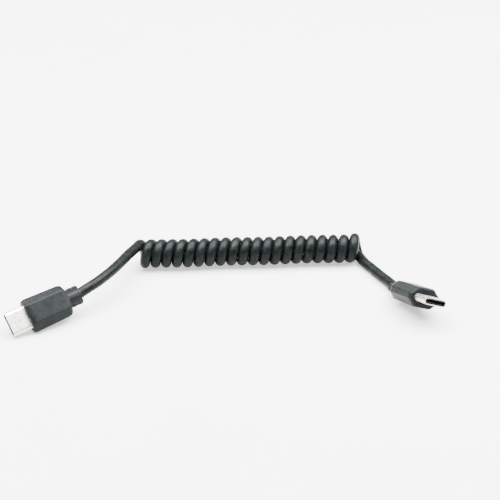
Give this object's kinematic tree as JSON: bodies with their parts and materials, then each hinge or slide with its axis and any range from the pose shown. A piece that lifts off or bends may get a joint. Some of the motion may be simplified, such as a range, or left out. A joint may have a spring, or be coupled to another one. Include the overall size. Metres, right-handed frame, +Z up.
{
  "type": "coiled usb c cable",
  "caption": "Short springy charging cable, a tight straight coil of black cord with a reversible metal-shelled plug on a short lead at each end.",
  "frame": {"origin": "on the floor, under the middle of the box round the two plugs, in front of the coil", "axes": "+X along the coil from the left plug's end to the right plug's end, +Y from the plugs towards the coil, +Z up"},
  "size_m": [0.1416, 0.0512, 0.0124],
  "materials": {
    "cord_jacket": "satin",
    "plug_moulding": "satin",
    "shell_steel": "bright",
    "contact_plastic": "matte",
    "contact_gold": "bright"
  },
  "bodies": {
    "root": {"coil": "cord_jacket", "lead_left": "cord_jacket", "lead_right": "cord_jacket", "left_overmould": "plug_moulding", "right_overmould": "plug_moulding", "left_shell": "shell_steel", "right_shell": "shell_steel", "left_contact_block": "contact_plastic", "right_contact_block": "contact_plastic"}
  },
  "joints": []
}
